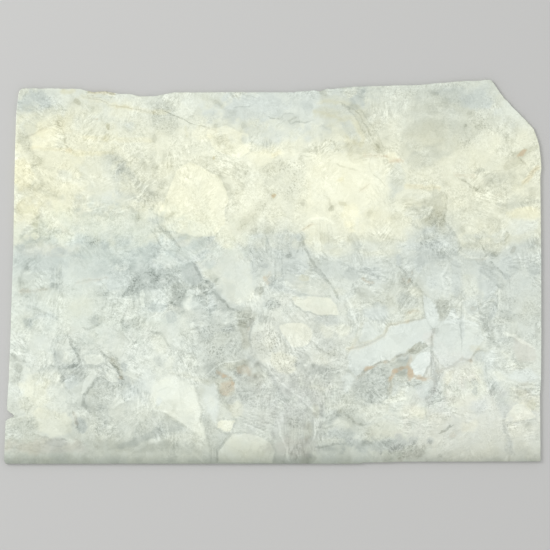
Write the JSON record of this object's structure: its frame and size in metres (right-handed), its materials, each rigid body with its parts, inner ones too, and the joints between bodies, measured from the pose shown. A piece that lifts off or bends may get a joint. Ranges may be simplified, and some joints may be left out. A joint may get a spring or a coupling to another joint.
{
  "type": "marble slab",
  "caption": "One sawn sheet of cream and grey brecciated marble with a polished face, a rough upper edge, a broken corner and a small notch.",
  "frame": {"origin": "the middle of the sawn back's bounding rectangle, on the surface that the slab lies on", "axes": "+X along the slab's length, towards the edge with the broken corner; +Y towards the rough upper edge; +Z out of the polished face"},
  "size_m": [2.8, 2.0024, 0.02],
  "materials": {
    "marble": "polished"
  },
  "bodies": {
    "root": {"slab": "marble"}
  },
  "joints": []
}
